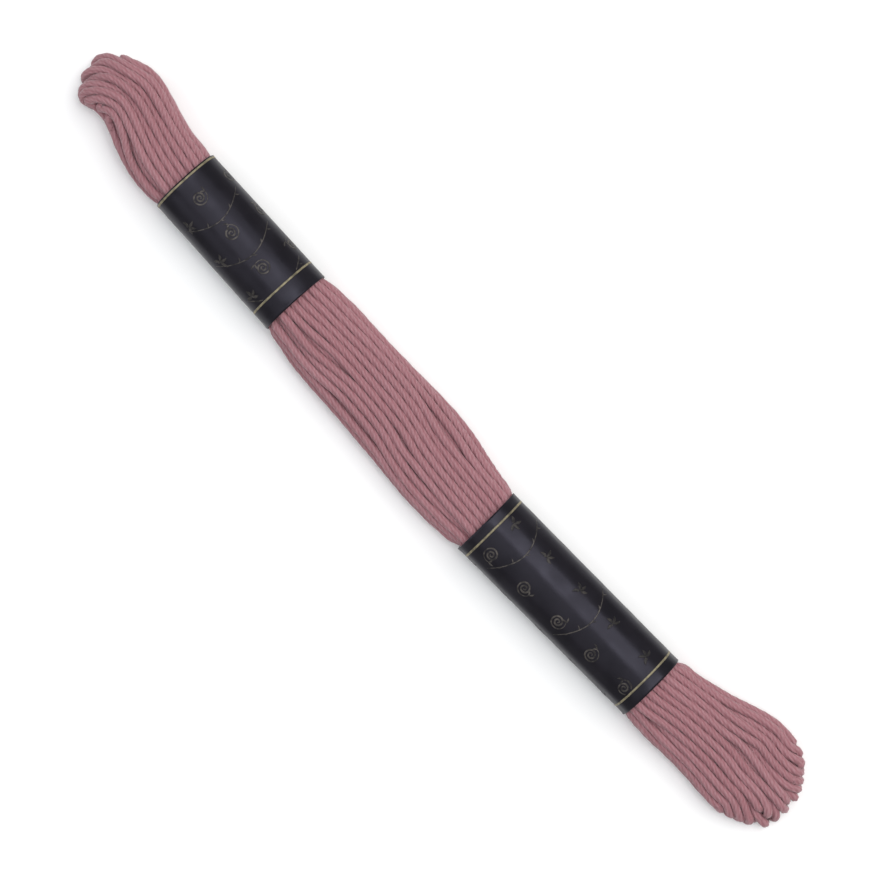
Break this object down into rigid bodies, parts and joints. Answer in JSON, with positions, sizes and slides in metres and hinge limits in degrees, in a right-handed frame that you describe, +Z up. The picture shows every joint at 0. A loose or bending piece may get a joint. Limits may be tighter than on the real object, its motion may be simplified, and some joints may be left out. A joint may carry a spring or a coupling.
{
  "type": "skein of embroidery floss",
  "caption": "Flat wound skein of mauve cotton embroidery floss with a turned loop at each end, held by a short and a long black paper band with gold border lines.",
  "frame": {"origin": "bottom centre of the skein's box, on the surface that it lies on", "axes": "+X along the skein from its twisted loop to its fanned loop, +Y across it, +Z up, away from the surface"},
  "size_m": [0.16, 0.0202, 0.0078],
  "materials": {
    "floss": "matte",
    "band_paper": "satin",
    "band_gold": "satin"
  },
  "bodies": {
    "root": {"hank": "floss", "band_upper": "band_paper", "band_lower": "band_paper"}
  },
  "joints": []
}
